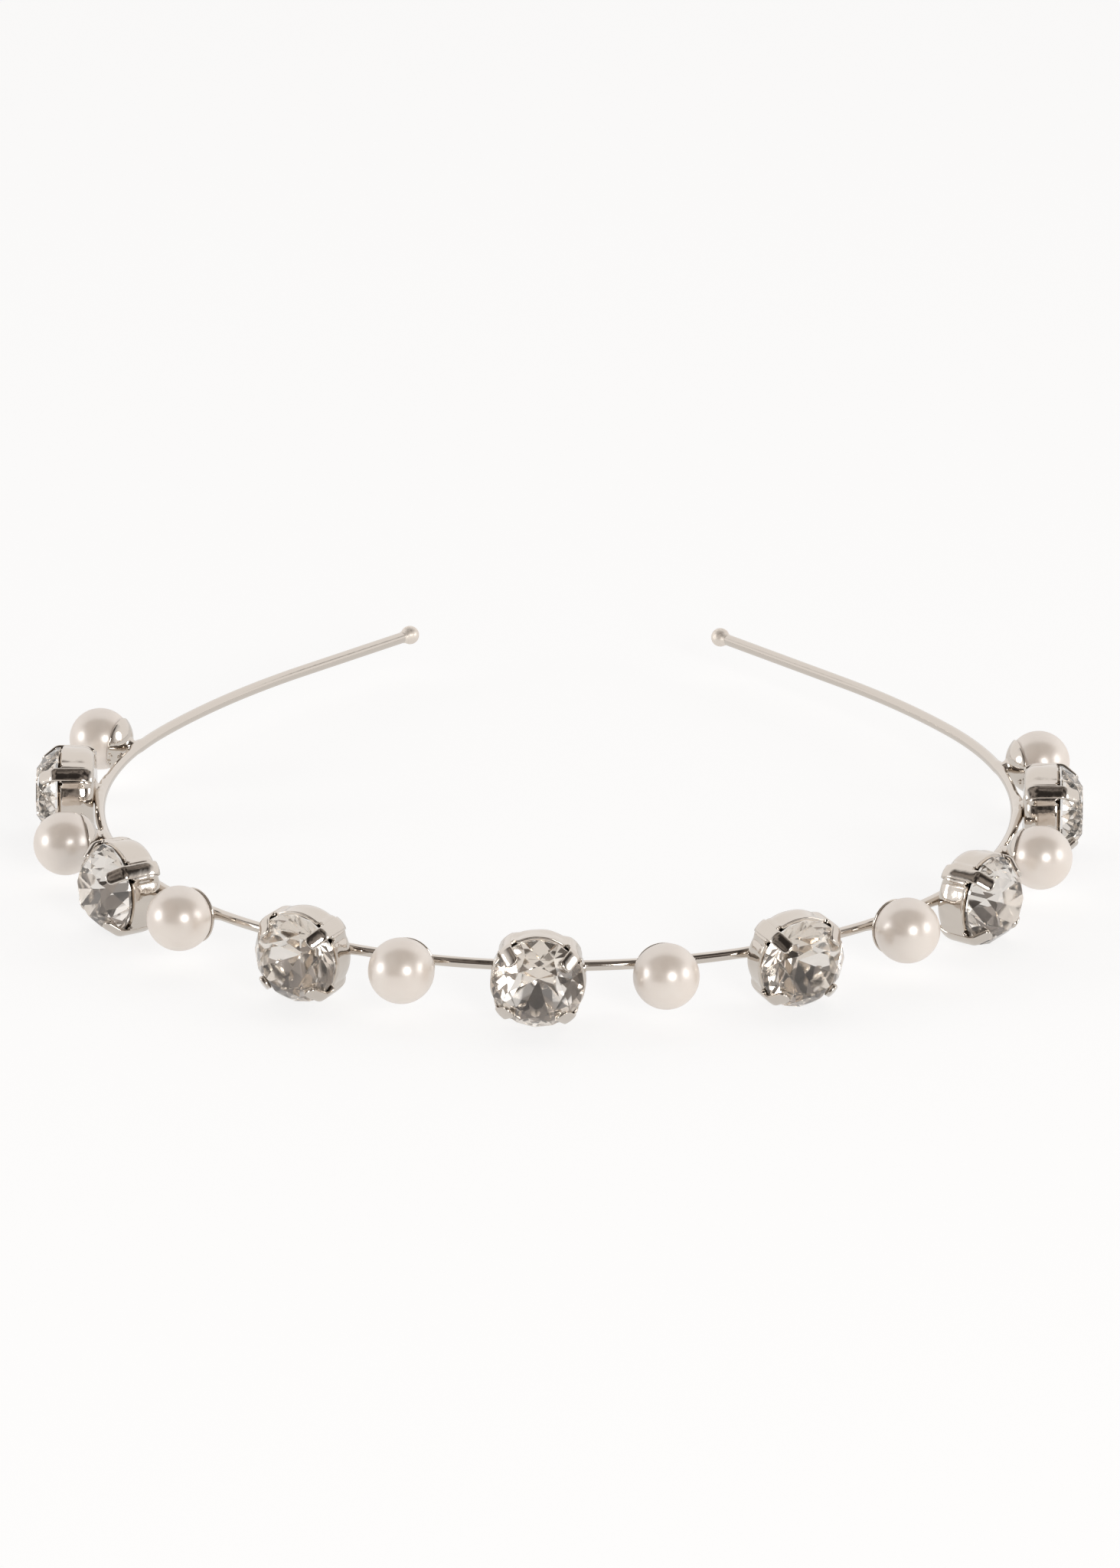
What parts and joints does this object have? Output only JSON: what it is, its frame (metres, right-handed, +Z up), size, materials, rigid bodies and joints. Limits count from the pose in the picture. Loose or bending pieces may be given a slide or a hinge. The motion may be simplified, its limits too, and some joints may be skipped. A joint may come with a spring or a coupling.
{
  "type": "pearl headband",
  "caption": "Slim wire headband with pearls and cut crystals by turns along its front, open at the back between two ball tips, that grips the head from above.",
  "frame": {"origin": "on the surface that the headband lies on, under the middle of its whole box", "axes": "+Z up from the surface that it lies on, -Y the way the middle crystal faces, +Y to the open tips, +X to the right for someone who looks at the middle crystal"},
  "size_m": [0.1331, 0.1284, 0.0118],
  "materials": {
    "metal": "polished rhodium plate",
    "crystal": "clear cut glass with a silvered back",
    "pearl": "pearl lustre"
  },
  "bodies": {
    "root": {"band": "metal", "crystal_1": "crystal", "crystal_2": "crystal", "crystal_3": "crystal", "crystal_4": "crystal", "crystal_5": "crystal", "crystal_6": "crystal", "crystal_7": "crystal", "pearl_1": "pearl", "pearl_2": "pearl", "pearl_3": "pearl", "pearl_4": "pearl", "pearl_5": "pearl", "pearl_6": "pearl", "pearl_7": "pearl", "pearl_8": "pearl"}
  },
  "joints": []
}
